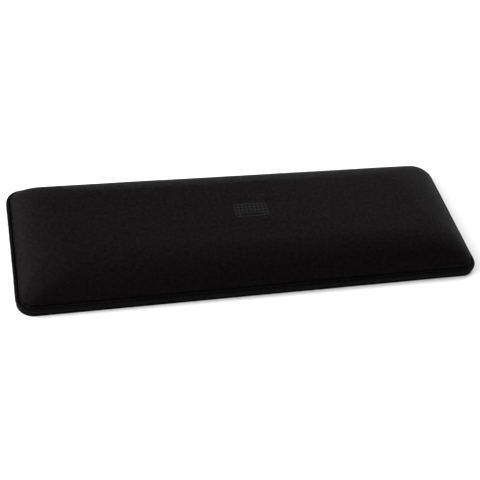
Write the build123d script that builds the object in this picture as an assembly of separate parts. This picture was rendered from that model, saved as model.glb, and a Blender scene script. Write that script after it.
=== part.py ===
from build123d import *
from math import pi, sin
import os

# A padded keyboard wrist rest: a soft cloth pad on a thin rubber base, topstitched all round.
# Millimetres, +X along the pad, +Y away from the user, +Z up.
# The origin is the middle of the underside, which rests on the desk.
# An "inset" is a distance inwards from the pad's outline, seen from above.

# ---- driving dimensions -------------------------------------------------------------------
WIDTH = 300.0  # along the keyboard
DEPTH = 100.0  # front to back
HEIGHT = 25.0  # desk to the top of the printed mark
CORNER_RADIUS = 10.75  # of the outline

BASE_THICKNESS = 2.0  # rubber sheet
BASE_INSET = 0.4  # the cloth edge overhangs the rubber by this much
BASE_BEVEL = 0.3
FILM_THICKNESS = 0.1  # glue between the rubber and the pad
FILM_INSET = 2.0
CLOTH_THICKNESS = 0.6
PADDING_THICKNESS = 2.4  # foam laminate behind the cloth
MARK_THICKNESS = 0.08  # heat-pressed film
GAP = 0.05  # between curved layers that lie on each other

LIP_WIDTH = 2.6  # the rounded edge outside the seam
LIP_TOP = 5.2
LIP_WAIST = 3.25  # height of the lip's widest line
LIP_FOOT = 0.9  # inset where the lip meets the base
HEM_INSET = 2.1  # the cloth's edge is turned under as far as this
SEAM_INSET = 2.9  # middle of the stitch line
SEAM_FLOOR = 4.7  # where the stitches pull the cloth down to

CROWN_INSET = 3.2  # foot of the padded crown
END_ROUNDING = 31.8  # run of the crown's curve at the two ends
SIDE_ROUNDING = 22.3  # and at the front and back
END_POWER = 1.71  # 2 is an ellipse; less is a slacker shoulder
SIDE_POWER = 1.65
CORNER_GROWTH = 9.4  # how much rounder the crown's corners are at the top
CROWN_RINGS = 9

THREAD_DIAMETER = 0.5
THREAD_REST = 0.02  # clearance under each thread
CHANNEL_WIDTH = 1.0  # groove in the underside that keeps the lower thread off the desk
CHANNEL_DEPTH = 0.7

MARK_WIDTH = 22.0  # a small keyboard pictogram
MARK_DEPTH = 11.0
MARK_LINE = 0.7
MARK_CORNER = 1.6
KEY_ROWS = 4
KEY_COLUMNS = 8

# ---- levels that follow from them ---------------------------------------------------------
PAD_BOTTOM = BASE_THICKNESS + FILM_THICKNESS
CROWN_TOP = HEIGHT - MARK_THICKNESS
PADDING_SKIN = CLOTH_THICKNESS + GAP
CORE_SKIN = PADDING_SKIN + PADDING_THICKNESS + GAP


# ---- shapes shared by the layers ----------------------------------------------------------
def outline(inset, z=0.0):
    """The pad's rounded outline, moved inwards by inset, at height z."""
    ring = RectangleRounded(WIDTH - 2 * inset, DEPTH - 2 * inset, CORNER_RADIUS - inset)
    return Pos(0, 0, z) * ring


def slab(inset, bottom, top):
    """A flat plate with the pad's outline."""
    return extrude(outline(inset, bottom), amount=top - bottom)


def ring_along(inset, section):
    """Sweep a section, drawn with +X inwards and +Y up, round the outline at this inset."""
    path = outline(inset).wire()
    inward = Vector(0, 0, 1).cross(path % 0)
    if inward.dot(path @ 0) > 0:
        inward = -inward
    start = Plane(origin=path @ 0, x_dir=inward, z_dir=inward.cross(Vector(0, 0, 1)))
    return sweep(start * section, path=path)


def lip_section(skin):
    """The rolled edge on its flat foot, smaller by skin all round."""
    bottom = PAD_BOTTOM + skin
    foot = (LIP_FOOT + skin, bottom)
    waist = (skin, LIP_WAIST)
    crest = (LIP_WIDTH / 2, LIP_TOP - skin)
    seam = (LIP_WIDTH, max(SEAM_FLOOR - skin, bottom))
    edges = [
        Spline(foot, waist, tangents=[(-1, 0.4), (0, 1)]),
        Spline(waist, crest, tangents=[(0, 1), (1, 0)]),
        Spline(crest, seam, tangents=[(1, 0), (0.5, -1)]),
    ]
    if seam[1] > bottom:
        edges.append(Line(seam, (LIP_WIDTH, bottom)))
    edges.append(Line((LIP_WIDTH, bottom), foot))
    return make_face(edges)


def run_at(rise, power):
    """How far in the crown's curve has come at this share of its height."""
    return 1 - (1 - rise**power) ** (1 / power)


def crown(skin, bottom):
    """The padded dome: rounded rings that move inwards as they rise to a flat top."""
    rings = []
    for i in range(CROWN_RINGS + 1):
        rise = sin(i / CROWN_RINGS * pi / 2) ** (2 / SIDE_POWER)
        side_run = run_at(rise, SIDE_POWER)
        end_inset = CROWN_INSET + skin + (END_ROUNDING - skin) * run_at(rise, END_POWER)
        side_inset = CROWN_INSET + skin + (SIDE_ROUNDING - skin) * side_run
        radius = CORNER_RADIUS - CROWN_INSET + (CORNER_GROWTH - skin) * side_run
        ring = RectangleRounded(WIDTH - 2 * end_inset, DEPTH - 2 * side_inset, radius)
        rings.append(Pos(0, 0, bottom + (CROWN_TOP - skin - bottom) * rise) * ring)
    return loft(rings)


def pad_shape(skin, floor_inset):
    """Lip, seam floor and crown in one, smaller by skin under the cloth's outer surface."""
    seam_level = SEAM_FLOOR - skin
    lip = ring_along(0, lip_section(skin))
    floor = slab(floor_inset, PAD_BOTTOM, seam_level)
    return lip + floor + crown(skin, seam_level)


def thread_loop(height):
    """One thread lying along the stitch line."""
    return ring_along(SEAM_INSET, Pos(0, height) * Circle(THREAD_DIAMETER / 2))


# ---- the eight pieces, from the desk up ---------------------------------------------------
def rubber_base():
    sheet = slab(BASE_INSET, 0, BASE_THICKNESS)
    rims = sheet.edges().group_by(Axis.Z)
    sheet = chamfer(rims[0] + rims[-1], BASE_BEVEL)
    outer = slab(SEAM_INSET - CHANNEL_WIDTH / 2, 0, CHANNEL_DEPTH)
    inner = slab(SEAM_INSET + CHANNEL_WIDTH / 2, 0, CHANNEL_DEPTH)
    return sheet - (outer - inner)


def bobbin_thread():
    """The lower thread, tucked up inside the channel in the underside."""
    return thread_loop(CHANNEL_DEPTH - THREAD_REST - THREAD_DIAMETER / 2)


def base_adhesive():
    return slab(FILM_INSET, BASE_THICKNESS, PAD_BOTTOM)


def foam_core():
    return crown(CORE_SKIN, PAD_BOTTOM)


def padding_layer():
    """Soft laminate over the core, pinched flat at the seam and filling the lip."""
    return pad_shape(PADDING_SKIN, HEM_INSET + GAP) - crown(CORE_SKIN - GAP, PAD_BOTTOM)


def face_fabric():
    """The cloth, from its hem under the lip, up over the seam and across the crown."""
    return pad_shape(0, LIP_WIDTH / 2) - pad_shape(CLOTH_THICKNESS, HEM_INSET)


def needle_thread():
    """The upper thread, lying in the seam."""
    return thread_loop(SEAM_FLOOR + THREAD_REST + THREAD_DIAMETER / 2)


def printed_mark():
    """A keyboard pictogram: one film with a window for each key and one long space bar."""
    film = RectangleRounded(MARK_WIDTH, MARK_DEPTH, MARK_CORNER)
    column = (MARK_WIDTH - MARK_LINE) / KEY_COLUMNS
    row = (MARK_DEPTH - MARK_LINE) / KEY_ROWS
    key = RectangleRounded(column - MARK_LINE, row - MARK_LINE, MARK_LINE / 3)
    space_bar = RectangleRounded((KEY_COLUMNS - 2) * column - MARK_LINE, row - MARK_LINE, MARK_LINE / 3)
    first_row = -(KEY_ROWS - 1) / 2 * row
    for r in range(KEY_ROWS):
        y = first_row + r * row
        ends_only = r == 0
        if ends_only:
            film -= Pos(0, y) * space_bar
        for c in range(KEY_COLUMNS):
            if ends_only and 0 < c < KEY_COLUMNS - 1:
                continue
            film -= Pos((c - (KEY_COLUMNS - 1) / 2) * column, y) * key
    return extrude(Pos(0, 0, CROWN_TOP) * film, amount=MARK_THICKNESS)


PIECES = [
    rubber_base,
    bobbin_thread,
    base_adhesive,
    foam_core,
    padding_layer,
    face_fabric,
    needle_thread,
    printed_mark,
]

os.makedirs("parts", exist_ok=True)
for piece in PIECES:
    export_step(piece(), f"parts/{piece.__name__}.step")
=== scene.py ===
"""A padded keyboard wrist rest: black cloth over foam on a rubber base, topstitched all round."""

from math import cos, pi, radians, sin, tau

import bmesh
import bpy
import numpy as np
from mathutils import Euler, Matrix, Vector, noise
from mathutils.bvhtree import BVHTree


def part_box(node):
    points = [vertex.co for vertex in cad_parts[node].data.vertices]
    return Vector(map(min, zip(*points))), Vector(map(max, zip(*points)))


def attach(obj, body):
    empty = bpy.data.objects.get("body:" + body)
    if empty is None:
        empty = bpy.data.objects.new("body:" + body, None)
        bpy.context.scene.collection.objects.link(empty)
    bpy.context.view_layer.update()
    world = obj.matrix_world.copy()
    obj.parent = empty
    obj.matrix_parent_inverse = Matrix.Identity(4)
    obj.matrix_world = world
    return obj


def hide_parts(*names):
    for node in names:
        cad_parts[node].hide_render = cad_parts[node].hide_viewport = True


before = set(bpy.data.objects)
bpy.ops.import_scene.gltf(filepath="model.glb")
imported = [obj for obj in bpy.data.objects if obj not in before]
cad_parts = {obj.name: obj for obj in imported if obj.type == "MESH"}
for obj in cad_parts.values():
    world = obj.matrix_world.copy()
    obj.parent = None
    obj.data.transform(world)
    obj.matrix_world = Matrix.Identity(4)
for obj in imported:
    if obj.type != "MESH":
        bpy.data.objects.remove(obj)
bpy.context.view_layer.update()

MM = 0.001
rng = np.random.default_rng(7)

# ---- places that the frame gives ----------------------------------------------------------
BASE_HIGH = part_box("rubber_base")[1]
COVER_LOW, COVER_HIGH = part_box("face_fabric")
SEAM_LOW, SEAM_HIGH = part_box("needle_thread")
BOBBIN_LOW, BOBBIN_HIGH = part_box("bobbin_thread")
MARK_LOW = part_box("printed_mark")[0]

HALF_WIDTH = COVER_HIGH[0]
HALF_DEPTH = COVER_HIGH[1]
PAD_BOTTOM = COVER_LOW[2]
CROWN_TOP = COVER_HIGH[2]
THREAD_RADIUS = (SEAM_HIGH[2] - SEAM_LOW[2]) / 2
SEAM_FLOOR = SEAM_LOW[2]
SEAM_INSET = HALF_WIDTH - SEAM_HIGH[0] + THREAD_RADIUS

# ---- sizes of the soft shape --------------------------------------------------------------
CORNER_RADIUS = 10.75 * MM  # of the outline
CLOTH = 0.6 * MM
LIP_WIDTH = 2.6 * MM
LIP_TOP = 5.2 * MM
HEM_INSET = 2.1 * MM
CROWN_INSET = 3.2 * MM
END_ROUNDING = 30.5 * MM  # from the crown's foot in to where its top begins
SIDE_ROUNDING = 21.1 * MM
END_POWER = 1.71  # of the rounding's curve: 2 is an ellipse, and less is leaner
SIDE_POWER = 1.65
CORNER_GROWTH = 9.4 * MM  # how much wider the corners' radius is at the top than at the foot
CROWN_BOW = 1.5 * MM  # how far the crown's top is lowered towards its edges
BOW_POWER_ALONG = 6
BOW_POWER_ACROSS = 2
CROWN_ROWS = 18

STITCHES_LONG = 72  # on each long side, from the middle of one corner to the next
STITCHES_SHORT = 22
STITCHES = 2 * (STITCHES_LONG + STITCHES_SHORT)


SPARE_POWER = 4  # keeps the cloth's spare length to the straight sides, and off the corners

# ---- rounded rectangles in step with the stitches -----------------------------------------
def side(half_along, half_across, radius, count):
    """One side of a rounded rectangle, from the middle of a corner to the middle of the next.
    The points keep their share of the corner and of the straight, as set out along the seam."""
    seam_radius = CORNER_RADIUS - SEAM_INSET
    corner = seam_radius * pi / 4
    straight = 2 * (half_along[1] - CORNER_RADIUS)
    length = straight + 2 * corner
    at = np.arange(count) / count * length
    share = np.clip((at - corner) / straight, 0, 1)
    turn = pi / 4 * (np.clip(1 - (length - at) / corner, 0, 1) - np.clip(1 - at / corner, 0, 1))
    along = (2 * share - 1) * (half_along[0] - radius) + radius * np.sin(turn)
    across = (half_across - radius) + radius * np.cos(turn)
    return np.stack([along, across], 1), np.stack([np.sin(turn), np.cos(turn)], 1)


def loop(half_x, half_y, radius, per_stitch):
    """Points and outward directions, clockwise from the middle of the back left corner."""
    points, outward = [], []
    for quarter in range(4):
        long_side = quarter % 2 == 0
        halves = (half_x, HALF_WIDTH) if long_side else (half_y, HALF_DEPTH)
        across = half_y if long_side else half_x
        count = (STITCHES_LONG if long_side else STITCHES_SHORT) * per_stitch
        p, n = side(halves, across, radius, count)
        c, s = round(cos(quarter * pi / 2)), round(sin(quarter * pi / 2))
        spin = np.array([[c, -s], [s, c]])
        points.append(p @ spin)
        outward.append(n @ spin)
    return np.concatenate(points), np.concatenate(outward)


def ring(inset, z):
    """A ring of the flat outline, moved inwards by inset."""
    return (HALF_WIDTH - inset, HALF_DEPTH - inset, CORNER_RADIUS - inset, z)


def run_at(rise, power):
    """How far in the dome's curve has come at this share of its height."""
    return 1 - (1 - rise**power) ** (1 / power)


def crown_rings(skin, bottom, low):
    """The dome's rings, closer together near its foot. low takes this much off its height."""
    rings = []
    for i in range(CROWN_ROWS + 1):
        rise = sin(i / CROWN_ROWS * pi / 2) ** (2 / SIDE_POWER)
        side_run = run_at(rise, SIDE_POWER)
        end_inset = CROWN_INSET + skin + (END_ROUNDING - skin) * run_at(rise, END_POWER)
        side_inset = CROWN_INSET + skin + (SIDE_ROUNDING - skin) * side_run
        radius = CORNER_RADIUS - CROWN_INSET + (CORNER_GROWTH - skin) * side_run
        height = bottom + (CROWN_TOP - low - skin - bottom) * rise
        rings.append((HALF_WIDTH - end_inset, HALF_DEPTH - side_inset, radius, height))
    return rings


def bowed(points):
    """The points, lowered towards the crown's foot so that its top is a shallow bow."""
    x = np.clip(np.abs(points[:, 0]) / (HALF_WIDTH - CROWN_INSET), 0, 1)
    y = np.clip(np.abs(points[:, 1]) / (HALF_DEPTH - CROWN_INSET), 0, 1)
    share = np.clip((points[:, 2] - SEAM_FLOOR) / (CROWN_TOP - SEAM_FLOOR), 0, 1)
    down = CROWN_BOW * share * (1 - (1 - x**BOW_POWER_ALONG) * (1 - y**BOW_POWER_ACROSS))
    return points - np.column_stack([0 * down, 0 * down, down])


def patch(edge, across_x, across_y):
    """Fill a closed ring with a grid. Gives the inner points and the grid of point numbers."""
    n = len(edge)
    number = np.zeros((across_x + 1, across_y + 1), int)
    i, j = np.arange(across_x + 1), np.arange(across_y + 1)
    number[:, 0] = i
    number[across_x, :] = across_x + j
    number[:, across_y] = 2 * across_x + across_y - i
    number[0, :] = (n - j) % n
    u = (i / across_x)[:, None, None]
    v = (j / across_y)[None, :, None]
    back, front = edge[number[:, 0]][:, None], edge[number[:, across_y]][:, None]
    left, right = edge[number[0, :]][None], edge[number[across_x, :]][None]
    corners = (
        (1 - u) * (1 - v) * edge[number[0, 0]]
        + u * (1 - v) * edge[number[-1, 0]]
        + (1 - u) * v * edge[number[0, -1]]
        + u * v * edge[number[-1, -1]]
    )
    grid = (1 - v) * back + v * front + (1 - u) * left + u * right - corners
    number[1:-1, 1:-1] = n + np.arange((across_x - 1) * (across_y - 1)).reshape(across_x - 1, -1)
    return grid[1:-1, 1:-1].reshape(-1, edge.shape[1]), number


def shell(name, rings, per_stitch, seam_row=0, close_start=False):
    """A mesh through rounded rings, filled with a grid at its last ring, and at its first if asked.
    Each point keeps its turn round the seam (as a cosine and a sine), the way across the surface from
    the seam's row, and its place in the cloth as it was before it was stretched over the pad."""
    across_x, across_y = STITCHES_LONG * per_stitch, STITCHES_SHORT * per_stitch
    n = 2 * (across_x + across_y)
    rows = []
    for half_x, half_y, radius, z in rings:
        flat, outward = loop(half_x, half_y, radius, per_stitch)
        rows.append(np.column_stack([flat, np.full(n, z)]))
    rows = np.stack(rows)
    steps = np.linalg.norm(np.diff(rows, axis=0), axis=2)
    run = np.concatenate([np.zeros((1, n)), np.cumsum(steps, axis=0)])
    across = (run - run[seam_row]).ravel()
    plan_run = np.linalg.norm((rows - rows[-1])[:, :, :2], axis=2)
    spare = (run[-1] - run) - plan_run
    aside = outward * np.abs(outward) ** SPARE_POWER
    laid_flat = rows[:, :, :2] + aside[None] * spare[:, :, None]
    points, laid_flat = rows.reshape(-1, 3), laid_flat.reshape(-1, 2)
    turn = np.tile(np.arange(n) / n * tau, len(rings))
    a = np.arange(n)
    b = (a + 1) % n
    faces = [
        np.stack([k * n + a, k * n + b, (k + 1) * n + b, (k + 1) * n + a], 1)
        for k in range(len(rings) - 1)
    ]
    for edge_row in (0, len(rings) - 1) if close_start else (len(rings) - 1,):
        edge = slice(edge_row * n, (edge_row + 1) * n)
        inner, number = patch(points[edge], across_x, across_y)
        number = np.where(number >= n, number - n + len(points), number + edge_row * n)
        corners = [number[:-1, :-1], number[1:, :-1], number[1:, 1:], number[:-1, 1:]]
        if edge_row == 0:
            corners.reverse()
        faces.append(np.stack(corners, -1).reshape(-1, 4))
        points = np.concatenate([points, inner])
        laid_flat = np.concatenate([laid_flat, inner[:, :2]])
        across = np.concatenate([across, np.full(len(inner), across[edge].mean())])
        turn = np.concatenate([turn, np.zeros(len(inner))])
    points = bowed(points)
    mesh = bpy.data.meshes.new(name)
    mesh.from_pydata(points.tolist(), [], np.concatenate(faces)[:, ::-1].tolist())
    mesh.shade_smooth()
    kept = {"turn_cos": np.cos(turn), "turn_sin": np.sin(turn), "across": across}
    for label, values in kept.items():
        mesh.attributes.new(label, "FLOAT", "POINT").data.foreach_set("value", values)
    flat = np.column_stack([laid_flat, np.zeros(len(laid_flat))])
    mesh.attributes.new("laid_flat", "FLOAT_VECTOR", "POINT").data.foreach_set("vector", flat.ravel())
    piece = bpy.data.objects.new(name, mesh)
    bpy.context.scene.collection.objects.link(piece)
    return piece


def read_points(mesh):
    flat = np.empty(len(mesh.vertices) * 3)
    mesh.vertices.foreach_get("co", flat)
    return flat.reshape(-1, 3)


def read_attribute(mesh, label):
    values = np.empty(len(mesh.vertices))
    mesh.attributes[label].data.foreach_get("value", values)
    return values


def write_points(mesh, points):
    mesh.vertices.foreach_set("co", np.ascontiguousarray(points).ravel())
    mesh.update()


def point_normals(mesh):
    flat = np.empty(len(mesh.vertices) * 3)
    mesh.vertex_normals.foreach_get("vector", flat)
    return flat.reshape(-1, 3)


def bake_modifiers(piece):
    """Keep what the piece's modifiers make of it as its own mesh."""
    graph = bpy.context.evaluated_depsgraph_get()
    shown = piece.evaluated_get(graph)
    made = bpy.data.meshes.new_from_object(shown, preserve_all_data_layers=True, depsgraph=graph)
    piece.modifiers.clear()
    piece.data = made


def add_mesh(name, points, faces):
    mesh = bpy.data.meshes.new(name)
    mesh.from_pydata(points.tolist(), [], faces.tolist())
    mesh.shade_smooth()
    piece = bpy.data.objects.new(name, mesh)
    bpy.context.scene.collection.objects.link(piece)
    return piece


def subdivide(piece, levels):
    smooth = piece.modifiers.new("smooth", "SUBSURF")
    smooth.levels = smooth.render_levels = levels
    bake_modifiers(piece)


def finish_piece(piece, node, material):
    """Put a piece in the CAD node's place."""
    piece.data.materials.clear()
    piece.data.materials.append(material)
    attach(piece, "root")
    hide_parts(node)


# ---- materials ----------------------------------------------------------------------------
class Nodes:
    """Short calls for a material's node tree."""

    def __init__(self, name):
        self.material = bpy.data.materials.new(name)
        self.material.use_nodes = True
        self.tree = self.material.node_tree
        self.shader = self.tree.nodes["Principled BSDF"]

    def add(self, kind, **settings):
        node = self.tree.nodes.new("ShaderNode" + kind)
        for key, value in settings.items():
            setattr(node, key, value)
        return node

    def link(self, out, socket):
        if isinstance(out, (int, float)):
            socket.default_value = out
        else:
            self.tree.links.new(out, socket)

    def math(self, operation, a, b=0.0):
        node = self.add("Math", operation=operation)
        self.link(a, node.inputs[0])
        self.link(b, node.inputs[1])
        return node.outputs[0]

    def ramp(self, value, low, high, out_low=0.0, out_high=1.0):
        node = self.add("MapRange", interpolation_type="SMOOTHSTEP")
        self.link(value, node.inputs["Value"])
        limits = {"From Min": low, "From Max": high, "To Min": out_low, "To Max": out_high}
        for label, number in limits.items():
            node.inputs[label].default_value = number
        return node.outputs["Result"]

    def mix(self, share, first, second):
        node = self.add("Mix", data_type="RGBA")
        self.link(share, node.inputs[0])
        for value, socket in ((first, node.inputs[6]), (second, node.inputs[7])):
            if isinstance(value, tuple):
                socket.default_value = (*value, 1)
            else:
                self.link(value, socket)
        return node.outputs[2]

    def object_place(self):
        return self.add("TexCoord").outputs["Object"]

    def attribute(self, label):
        return self.add("Attribute", attribute_name=label).outputs["Vector"]

    def axes(self, vector):
        node = self.add("SeparateXYZ")
        self.link(vector, node.inputs[0])
        return node.outputs

    def noise(self, vector, size, detail=2.0, roughness=0.5):
        node = self.add("TexNoise")
        self.link(vector, node.inputs["Vector"])
        node.inputs["Scale"].default_value = 1 / size
        node.inputs["Detail"].default_value = detail
        node.inputs["Roughness"].default_value = roughness
        return node.outputs[0]

    def cells(self, vector, size):
        node = self.add("TexVoronoi", feature="F1")
        self.link(vector, node.inputs["Vector"])
        node.inputs["Scale"].default_value = 1 / size
        return node.outputs["Distance"]

    def bump(self, height, depth, below=None):
        node = self.add("Bump")
        self.link(height, node.inputs["Height"])
        node.inputs["Distance"].default_value = depth
        node.inputs["Strength"].default_value = 1.0
        if below is not None:
            self.link(below, node.inputs["Normal"])
        return node.outputs[0]

    def set(self, **values):
        for label, value in values.items():
            socket = self.shader.inputs[label.replace("_", " ")]
            if isinstance(value, tuple):
                socket.default_value = (*value, 1)
            elif isinstance(value, (int, float)):
                socket.default_value = value
            else:
                self.tree.links.new(value, socket)


WEAVE_PITCH = 0.42 * MM


def weave(m, place):
    """Height of a plain weave, from 0 in its gaps to 1 on its threads."""
    x, y, _ = m.axes(place)
    over_x = m.math("ABSOLUTE", m.math("SINE", m.math("MULTIPLY", x, pi / WEAVE_PITCH)))
    over_y = m.math("ABSOLUTE", m.math("SINE", m.math("MULTIPLY", y, pi / WEAVE_PITCH)))
    checker = m.add("TexChecker")
    m.link(place, checker.inputs["Vector"])
    checker.inputs["Scale"].default_value = 1 / WEAVE_PITCH
    warp_up = checker.outputs["Fac"]
    weft = m.math("MULTIPLY", over_x, warp_up)
    warp = m.math("MULTIPLY", over_y, m.math("SUBTRACT", 1.0, warp_up))
    return m.math("ADD", weft, warp)


CLOTH_DARK = (0.0004, 0.0003, 0.0004)
CLOTH_LIGHT = (0.0011, 0.0009, 0.0010)
CLOTH_TINT = (1.0, 0.87, 0.94)
CLOTH_SHINE = (0.040, 0.080)
CLOTH_ROUGHNESS = (0.64, 0.76)
SLUB_SIZE = 0.9 * MM  # thick and thin places in the threads
NAP_SIZE = 2.2 * MM
MOTTLE_SIZE = 14 * MM
WEAVE_DEPTH = 0.05 * MM
NAP_DEPTH = 0.5 * MM


def cloth_material():
    m = Nodes("black_cloth")
    place = m.attribute("laid_flat")
    height = weave(m, place)
    slub = m.noise(place, SLUB_SIZE, detail=3)
    nap = m.noise(place, NAP_SIZE, detail=2)
    mottle = m.noise(place, MOTTLE_SIZE, detail=3, roughness=0.6)
    # The base colour is darker in the weave's gaps, which is painted shade between the threads. The
    # slub and mottle add random thread tone.
    weave_shade_and_tone = m.math("ADD", m.math("MULTIPLY", height, 0.55), m.math("MULTIPLY", slub, 0.45))
    weave_shade_and_tone = m.math("MULTIPLY", weave_shade_and_tone, m.ramp(mottle, 0.3, 0.7, 0.85, 1.15))
    rough = m.ramp(slub, 0.3, 0.7, *CLOTH_ROUGHNESS)
    uneven = m.math("ADD", m.math("MULTIPLY", slub, 0.4), m.math("MULTIPLY", nap, 0.6))
    raised = m.bump(height, WEAVE_DEPTH, below=m.bump(uneven, NAP_DEPTH))
    m.set(
        Base_Color=m.mix(weave_shade_and_tone, CLOTH_DARK, CLOTH_LIGHT),
        Roughness=rough,
        Normal=raised,
        Specular_IOR_Level=m.ramp(uneven, 0.35, 0.65, *CLOTH_SHINE),
        Specular_Tint=CLOTH_TINT,
    )
    return m.material


def thread_material():
    m = Nodes("black_thread")
    place = m.object_place()
    fibre = m.noise(place, 0.12 * MM, detail=4)
    m.set(
        Base_Color=m.mix(fibre, (0.0020, 0.0018, 0.0019), (0.0050, 0.0045, 0.0048)),
        Roughness=m.ramp(fibre, 0.3, 0.7, 0.5, 0.7),
        Normal=m.bump(fibre, 0.03 * MM),
        Specular_IOR_Level=0.24,
    )
    return m.material


def rubber_material():
    m = Nodes("black_rubber")
    place = m.object_place()
    grain = m.noise(place, 0.35 * MM, detail=4)
    dust = m.noise(place, 18 * MM, detail=5, roughness=0.65)
    m.set(
        Base_Color=m.mix(m.ramp(dust, 0.35, 0.75), (0.0004, 0.0004, 0.0004), (0.0009, 0.0009, 0.0009)),
        Roughness=m.ramp(grain, 0.3, 0.7, 0.62, 0.8),
        Normal=m.bump(grain, 0.04 * MM),
        Specular_IOR_Level=0.04,
    )
    return m.material


def foam_material(name, dark, light, cell):
    m = Nodes(name)
    place = m.object_place()
    pores = m.cells(place, cell)
    fine = m.cells(place, cell * 0.45)
    pore_depth_and_shade = m.math("ADD", m.math("MULTIPLY", pores, 0.65), m.math("MULTIPLY", fine, 0.35))
    m.set(
        # The base colour is darker in the sunken middles of the cells, which is painted shade in the
        # foam's pores.
        Base_Color=m.mix(m.ramp(pore_depth_and_shade, 0.1, 0.6), dark, light),
        Roughness=0.95,
        Normal=m.bump(pore_depth_and_shade, 0.3 * MM),
    )
    return m.material


def glue_material():
    m = Nodes("glue_film")
    place = m.object_place()
    streak = m.noise(place, 3 * MM, detail=3)
    m.set(
        Base_Color=m.mix(streak, (0.0008, 0.0008, 0.0008), (0.0020, 0.0020, 0.0020)),
        Roughness=m.ramp(streak, 0.3, 0.7, 0.25, 0.5),
        Normal=m.bump(streak, 0.05 * MM),
        Specular_IOR_Level=0.1,
    )
    return m.material


def mark_material():
    m = Nodes("pressed_film")
    place = m.object_place()
    height = weave(m, place)
    wear = m.noise(place, 1.6 * MM, detail=4)
    m.set(
        Base_Color=m.mix(m.ramp(wear, 0.35, 0.7), (0.0046, 0.0044, 0.0046), (0.0080, 0.0077, 0.0080)),
        Roughness=m.ramp(wear, 0.3, 0.7, 0.5, 0.65),
        Normal=m.bump(height, 0.03 * MM),
        Specular_IOR_Level=0.07,
    )
    return m.material


# ---- cloth cover --------------------------------------------------------------------------
CAGE_PER_STITCH = 2
LIP_ROWS = 13
LIP_WAIST = 3.25 * MM  # height of the lip's widest place
LIP_SQUARENESS = 0.7  # 1 is a circle, and less is squarer
LIP_START = 1.06 * pi  # turn of the lip's lowest row, as seen in its section
LIP_TURN = 0.96 * pi
SEAM_FLAT = 0.12 * MM  # half the width of the bare strip under the stitches
CROWN_FOOT_HELD = 4 * MM  # the seam holds the cloth this far up the crown
PUFF = 0.2 * MM  # the crown starts this much low, and the cloth sim fills it out
PUFF_PRESSURE = 8.0
FOAM_HOLD = 0.07  # how firmly the foam, glued to the cloth, holds it
PUFF_FRAMES = 20
PUFF_LIMIT = 2.6 * MM
SPREAD_PASSES = 12
SHOULDER_PASSES = 30  # these soften the line where the crown's top meets its sides

HOLE_DEPTH = 0.5 * MM
LIP_PUCKER = 0.14 * MM
CROWN_PUCKER = 0.16 * MM
CROWN_BULGE = 0.5 * MM  # the filling swells out over the seam
LIP_UNEVEN = 0.14 * MM
CROWN_UNEVEN = 0.09 * MM
PULL = rng.uniform(0.7, 1.25, STITCHES)  # how tight each stitch is drawn


def squared(x):
    """Turns a circle's cosine and sine into those of a squarer roll."""
    return abs(x) ** LIP_SQUARENESS * (1 if x > 0 else -1)


def cover_rings():
    """From the hem under the edge, round the lip, down to the seam and up over the crown."""
    under = [(HEM_INSET, 0), (1.9 * MM, 0), (1.4 * MM, 0), (0.9 * MM, 0.05 * MM), (0.4 * MM, 0.35 * MM)]
    rings = [ring(inset, PAD_BOTTOM + rise) for inset, rise in under]
    for i in range(LIP_ROWS):
        angle = LIP_START - i / (LIP_ROWS - 1) * LIP_TURN
        inset = LIP_WIDTH / 2 * (1 + squared(cos(angle)))
        rings.append(ring(inset, LIP_WAIST + (LIP_TOP - LIP_WAIST) * squared(sin(angle))))
    rings.append(ring(SEAM_INSET - SEAM_FLAT, SEAM_FLOOR))
    rings.append(ring(SEAM_INSET + SEAM_FLAT, SEAM_FLOOR))
    return rings + crown_rings(0, SEAM_FLOOR, PUFF)


def spread(mesh, values, passes):
    """Even out small ripples in a row of numbers for each point, as the foam under them would."""
    ends = np.empty(len(mesh.edges) * 2, int)
    mesh.edges.foreach_get("vertices", ends)
    a, b = ends.reshape(-1, 2).T
    count = np.bincount(ends, minlength=len(values))[:, None]
    for _ in range(passes):
        total = np.zeros_like(values)
        np.add.at(total, a, values[b])
        np.add.at(total, b, values[a])
        values = values / 2 + total / count / 2
    return values


def puff_up(piece, strength):
    """Fill the crown out by a cloth sim, and keep the result as the piece's own mesh."""
    before = read_points(piece.data)
    group = piece.vertex_groups.new(name="hold")
    for index, weight in enumerate(strength):
        group.add([index], float(weight), "REPLACE")
    cloth = piece.modifiers.new("cloth", "CLOTH")
    settings = cloth.settings
    settings.quality = 6
    settings.mass = 0.1
    settings.tension_stiffness = 20
    settings.compression_stiffness = 20
    settings.shear_stiffness = 8
    settings.bending_stiffness = 2
    settings.air_damping = 6
    settings.use_pressure = True
    settings.uniform_pressure_force = PUFF_PRESSURE
    settings.vertex_group_mass = "hold"
    settings.effector_weights.gravity = 0
    cloth.point_cache.frame_start, cloth.point_cache.frame_end = 1, PUFF_FRAMES
    for f in range(1, PUFF_FRAMES + 1):
        bpy.context.scene.frame_set(f)
    bake_modifiers(piece)
    bpy.context.scene.frame_set(1)
    moved = spread(piece.data, read_points(piece.data) - before, SPREAD_PASSES)
    far = np.linalg.norm(moved, axis=1)
    limit = PUFF_LIMIT * np.tanh(far / PUFF_LIMIT) / np.maximum(far, 1e-9)
    write_points(piece.data, before + moved * limit[:, None])


def soften_shoulders(piece, free):
    """Smooth the heights of the points that are free of the seam. The second pass gives back what
    the first one takes off the shoulders."""
    points = read_points(piece.data)
    heights = points[:, 2:]
    softer = spread(piece.data, heights, SHOULDER_PASSES)
    softer += spread(piece.data, heights - softer, SHOULDER_PASSES)
    points[:, 2] += (softer[:, 0] - points[:, 2]) * free
    write_points(piece.data, points)


def bell(x, middle, width):
    return np.exp(-(((x - middle) / width) ** 2))


def unevenness(points, size, depth):
    """A slow, seeded unevenness, the same on every run."""
    return np.array([noise.noise(Vector(p) / size) for p in points]) * depth


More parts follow.
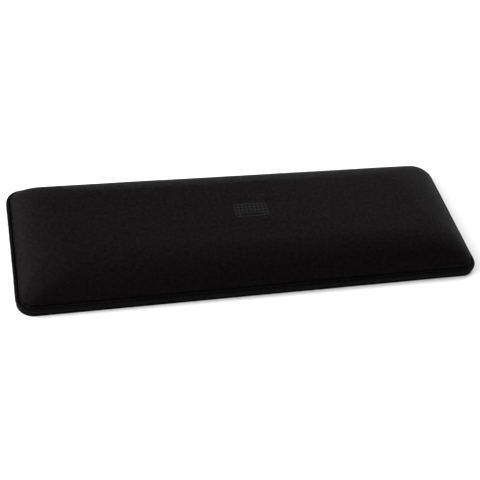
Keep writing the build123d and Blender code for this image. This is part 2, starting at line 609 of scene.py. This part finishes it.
def stitch_down(piece):
    """Draw the surface in at every needle hole, and make the roll beside the seam a little uneven.
    Places and widths across the seam are in mm, with the lip on the minus side."""
    mesh = piece.data
    points, normals = read_points(mesh), point_normals(mesh)
    across = read_attribute(mesh, "across") / MM
    turn = np.arctan2(read_attribute(mesh, "turn_sin"), read_attribute(mesh, "turn_cos")) / tau
    stitch = turn * STITCHES
    pull = np.interp(stitch % STITCHES, np.arange(STITCHES + 1), np.append(PULL, PULL[0]))
    at_hole = np.cos(stitch * pi) ** 2 * pull
    depth = HOLE_DEPTH * at_hole**3 * bell(across, 0, 0.5)
    depth += LIP_PUCKER * at_hole * bell(across, -1.3, 1.0)
    depth += CROWN_PUCKER * at_hole * bell(across, 1.4, 1.5)
    depth -= CROWN_BULGE * bell(across, 3.4, 2.2)
    near = np.flatnonzero((across < 0.5) & (across > -7))
    depth[near] += unevenness(points[near], 9 * MM, LIP_UNEVEN) * np.clip(-across[near], 0, 1)
    crown = np.flatnonzero(across > 0)
    slow = unevenness(points[crown], 34 * MM, CROWN_UNEVEN)
    depth[crown] += slow * np.clip(across[crown] / 12, 0, 1)
    write_points(mesh, points - normals * depth[:, None])


def make_cover():
    """The cover, and the points and normals of its cage for the layers that lie under it."""
    rings = cover_rings()
    seam_row = len(rings) - CROWN_ROWS - 2
    piece = shell("cloth_cover", rings, CAGE_PER_STITCH, seam_row)
    from_foot = read_attribute(piece.data, "across")
    free = np.clip((from_foot - CROWN_FOOT_HELD) / CROWN_FOOT_HELD, 0, 1)
    puff_up(piece, 1 - free * (1 - FOAM_HOLD))
    soften_shoulders(piece, free)
    cage = read_points(piece.data), point_normals(piece.data)
    subdivide(piece, 1)
    stitch_down(piece)
    finish_piece(piece, "face_fabric", cloth_material())
    return piece, cage


# ---- foam under the cloth -----------------------------------------------------------------
PADDING = 2.4 * MM
LAYER_GAP = 0.05 * MM
UNDER_CLOTH = CLOTH + 0.2 * MM
CORE_SKIN = CLOTH + PADDING + 2 * LAYER_GAP
CORE_LOW_BY = 1.5 * MM  # the core stays under the cover's softer shoulders


def make_core():
    rings = [ring(CROWN_INSET + CORE_SKIN + 0.4 * MM, PAD_BOTTOM)]
    rings += crown_rings(CORE_SKIN, PAD_BOTTOM + 0.4 * MM, CORE_LOW_BY)
    piece = shell("foam_block", rings, CAGE_PER_STITCH, close_start=True)
    dark, light = (0.045, 0.045, 0.048), (0.13, 0.13, 0.135)
    finish_piece(piece, "foam_core", foam_material("dense_foam", dark, light, 0.9 * MM))


def make_padding(cage):
    """Soft laminate: a hollow over the core, and a skin that follows the cover's inside."""
    hollow = crown_rings(CORE_SKIN - LAYER_GAP, PAD_BOTTOM, CORE_LOW_BY)[::-1]
    outside = cover_rings()
    rings = hollow + outside
    piece = shell("foam_laminate", rings, CAGE_PER_STITCH, close_start=True)
    points = read_points(piece.data)
    n = STITCHES * CAGE_PER_STITCH
    cage_points, cage_normals = cage
    inner = cage_points - cage_normals * UNDER_CLOTH
    inner[:, 2] = np.maximum(inner[:, 2], PAD_BOTTOM)
    rows = len(outside) * n
    start = len(hollow) * n
    points[start : start + rows] = inner[:rows]
    points[-(len(inner) - rows) :] = inner[rows:]
    write_points(piece.data, points)
    dark, light = (0.02, 0.02, 0.022), (0.07, 0.07, 0.073)
    finish_piece(piece, "padding_layer", foam_material("soft_foam", dark, light, 0.5 * MM))


# ---- the seam's two threads ---------------------------------------------------------------
THREAD_STEPS = 16  # to a stitch
PLIES = 3
PLY_SIDES = 6
PLY_RADIUS = 0.55 * THREAD_RADIUS
PLY_OFFSET = 0.45 * THREAD_RADIUS
TWISTS = 2  # whole turns of the plies to a stitch
DIVE = 1.0 * MM  # how far the thread goes down its hole
ARCH = 0.05 * MM


def seam_path(height, up):
    """The thread's line: flat between its holes, and pulled through the pad at each one."""
    radius = CORNER_RADIUS - SEAM_INSET
    flat, outward = loop(HALF_WIDTH - SEAM_INSET, HALF_DEPTH - SEAM_INSET, radius, THREAD_STEPS)
    t = np.arange(len(flat)) % THREAD_STEPS / THREAD_STEPS
    stitch = np.arange(len(flat)) // THREAD_STEPS
    from_middle = np.abs(2 * t - 1)
    z = height + up * (ARCH * (1 - from_middle**2) - DIVE * from_middle**8)
    drift = rng.uniform(-0.07, 0.07, STITCHES)[stitch] * MM * (1 - from_middle**4)
    return np.column_stack([flat + outward * drift[:, None], z]), outward


def twisted_thread(name, height, up):
    """Plies twisted round one line that closes on itself."""
    path, outward = seam_path(height, up)
    n = len(path)
    along = np.roll(path, -1, axis=0) - np.roll(path, 1, axis=0)
    along /= np.linalg.norm(along, axis=1)[:, None]
    aside = np.column_stack([outward, np.zeros(n)])
    lift = np.cross(along, aside)
    angle = np.arange(n) / THREAD_STEPS * TWISTS * tau
    points, faces = [], []
    for ply in range(PLIES):
        a = angle + ply / PLIES * tau
        middle = path + PLY_OFFSET * (np.cos(a)[:, None] * aside + np.sin(a)[:, None] * lift)
        spokes = np.arange(PLY_SIDES) / PLY_SIDES * tau
        wall = (
            middle[:, None]
            + PLY_RADIUS * np.cos(spokes)[None, :, None] * aside[:, None]
            + PLY_RADIUS * np.sin(spokes)[None, :, None] * lift[:, None]
        )
        i, j = np.meshgrid(np.arange(n), np.arange(PLY_SIDES), indexing="ij")
        i2, j2 = (i + 1) % n, (j + 1) % PLY_SIDES
        first = ply * n * PLY_SIDES
        corners = [i * PLY_SIDES + j, i2 * PLY_SIDES + j, i2 * PLY_SIDES + j2, i * PLY_SIDES + j2]
        points.append(wall.reshape(-1, 3))
        faces.append(first + np.stack(corners, -1).reshape(-1, 4))
    return add_mesh(name, np.concatenate(points), np.concatenate(faces))


def make_threads():
    black = thread_material()
    top = twisted_thread("stitches_top", SEAM_FLOOR + THREAD_RADIUS, 1)
    finish_piece(top, "needle_thread", black)
    under = twisted_thread("stitches_under", (BOBBIN_LOW[2] + BOBBIN_HIGH[2]) / 2, -1)
    finish_piece(under, "bobbin_thread", black)


# ---- rubber base --------------------------------------------------------------------------
CHANNEL_WIDTH = 1.0 * MM
CHANNEL_DEPTH = 0.7 * MM
GRIP_PITCH = 5.0 * MM
GRIP_DEPTH = 0.3 * MM
GRIP_MARGIN = 2.0 * MM
GRIP_POWER = 0.5  # less than 1 makes the diamonds' floors flatter
EDGE_ROUND = 0.3 * MM
FIRM = 0.06 * MM  # rows this close together keep an edge firm when it is smoothed


def make_base():
    """A moulded sheet with rounded edges, a stitch channel and a grip of shallow diamonds below."""
    edge = HALF_WIDTH - BASE_HIGH[0]
    top = BASE_HIGH[2]
    outer = SEAM_INSET - CHANNEL_WIDTH / 2
    inner = SEAM_INSET + CHANNEL_WIDTH / 2
    rings = [
        ring(inner + GRIP_MARGIN, 0),
        ring(inner + FIRM, 0),
        ring(inner, FIRM),
        ring(inner, CHANNEL_DEPTH - FIRM),
        ring(inner - FIRM, CHANNEL_DEPTH),
        ring(outer + FIRM, CHANNEL_DEPTH),
        ring(outer, CHANNEL_DEPTH - FIRM),
        ring(outer, FIRM),
        ring(outer - FIRM, 0),
        ring(edge + EDGE_ROUND + FIRM, 0),
        ring(edge + EDGE_ROUND * 0.4, EDGE_ROUND * 0.3),
        ring(edge, EDGE_ROUND + FIRM),
        ring(edge, top - EDGE_ROUND - FIRM),
        ring(edge + EDGE_ROUND * 0.4, top - EDGE_ROUND * 0.3),
        ring(edge + EDGE_ROUND + FIRM, top),
        ring(SEAM_INSET, top),
    ]
    piece = shell("rubber_sheet", rings, per_stitch=4, close_start=True)
    points = read_points(piece.data)
    inside_x = np.clip((HALF_WIDTH - inner - GRIP_MARGIN - np.abs(points[:, 0])) / GRIP_MARGIN, 0, 1)
    inside_y = np.clip((HALF_DEPTH - inner - GRIP_MARGIN - np.abs(points[:, 1])) / GRIP_MARGIN, 0, 1)
    u = (points[:, 0] + points[:, 1]) / GRIP_PITCH * pi
    v = (points[:, 0] - points[:, 1]) / GRIP_PITCH * pi
    dip = np.abs(np.sin(u) * np.sin(v)) ** GRIP_POWER * inside_x * inside_y
    below = points[:, 2] < FIRM / 2
    points[:, 2] += GRIP_DEPTH * dip * below
    write_points(piece.data, points)
    finish_piece(piece, "rubber_base", rubber_material())


# ---- the printed mark ---------------------------------------------------------------------
MARK_CUT = 0.8 * MM


def make_mark(cover):
    """The pictogram's film, cut finer and laid on the cover's curve."""
    shape = bmesh.new()
    shape.from_mesh(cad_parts["printed_mark"].data)
    for _ in range(5):
        long_edges = [e for e in shape.edges if e.calc_length() > MARK_CUT]
        if not long_edges:
            break
        bmesh.ops.subdivide_edges(shape, edges=long_edges, cuts=1)
    bmesh.ops.triangulate(shape, faces=shape.faces[:])
    surface = BVHTree.FromObject(cover, bpy.context.evaluated_depsgraph_get())
    for v in shape.verts:
        hit = surface.ray_cast(Vector((v.co.x, v.co.y, 1)), Vector((0, 0, -1)))[0]
        v.co.z = hit.z + (v.co.z - MARK_LOW[2]) * 0.8
    mesh = bpy.data.meshes.new("keyboard_mark")
    shape.to_mesh(mesh)
    shape.free()
    piece = bpy.data.objects.new("keyboard_mark", mesh)
    bpy.context.scene.collection.objects.link(piece)
    finish_piece(piece, "printed_mark", mark_material())


cover, cage = make_cover()
make_core()
make_padding(cage)
make_threads()
make_base()
make_mark(cover)
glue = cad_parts["base_adhesive"]
glue.data.materials.clear()
glue.data.materials.append(glue_material())


# ---- stage, light and camera --------------------------------------------------------------
FLOOR_SIZE = 12.0
WORLD_STRENGTH = 0.425
LIGHT_SIZE = 0.9
LIGHT_DISTANCE = 1.2
CAMERA_AZIMUTH = -22.94
CAMERA_ELEVATION = 47.05
CAMERA_ROLL = 12.80
CAMERA_DISTANCE = 595.0 * MM
CAMERA_LENS = 67.73
CAMERA_AIM_RIGHT = -2.50 * MM  # of the origin, as the camera sees it before its roll
CAMERA_AIM_UP = -3.15 * MM


def make_camera():
    data = bpy.data.cameras.new("camera")
    data.lens = CAMERA_LENS
    data.sensor_width = 36
    data.clip_start, data.clip_end = 0.01, 100
    camera = bpy.data.objects.new("camera", data)
    bpy.context.scene.collection.objects.link(camera)
    turn = Euler((radians(90 - CAMERA_ELEVATION), 0, radians(CAMERA_AZIMUTH)), "XYZ").to_matrix()
    roll = Euler((0, 0, radians(CAMERA_ROLL)), "XYZ").to_matrix()
    spin = turn @ roll
    camera.matrix_world = spin.to_4x4()
    camera.location = turn @ Vector((CAMERA_AIM_RIGHT, CAMERA_AIM_UP, CAMERA_DISTANCE))
    bpy.context.scene.camera = camera


def make_floor():
    bpy.ops.mesh.primitive_plane_add(size=FLOOR_SIZE)
    floor = bpy.context.object
    floor.name = "floor"
    material = bpy.data.materials.new("white_floor")
    material.use_nodes = True
    shader = material.node_tree.nodes["Principled BSDF"]
    shader.inputs["Base Color"].default_value = (0.9, 0.9, 0.9, 1)
    shader.inputs["Roughness"].default_value = 0.9
    floor.data.materials.append(material)


def make_light(name, azimuth, elevation, watts):
    """A square soft box aimed at the pad. Its azimuth runs anticlockwise from the pad's right end."""
    data = bpy.data.lights.new(name, "AREA")
    data.size = LIGHT_SIZE
    data.energy = watts
    turn, rise = radians(azimuth), radians(elevation)
    towards = Vector((cos(turn) * cos(rise), sin(turn) * cos(rise), sin(rise)))
    light = bpy.data.objects.new(name, data)
    light.location = towards * LIGHT_DISTANCE
    light.rotation_euler = (-towards).to_track_quat("-Z", "Y").to_euler()
    bpy.context.scene.collection.objects.link(light)


def make_world():
    world = bpy.data.worlds.new("studio")
    world.use_nodes = True
    world.node_tree.nodes["Background"].inputs["Color"].default_value = (1, 1, 1, 1)
    world.node_tree.nodes["Background"].inputs["Strength"].default_value = WORLD_STRENGTH
    bpy.context.scene.world = world


make_camera()
make_floor()
make_world()
make_light("back_right", 45, 38, 11.5)
make_light("left", 180, 30, 25.5)
bpy.context.scene.view_settings.view_transform = "Standard"
bpy.context.scene.view_settings.look = "None"
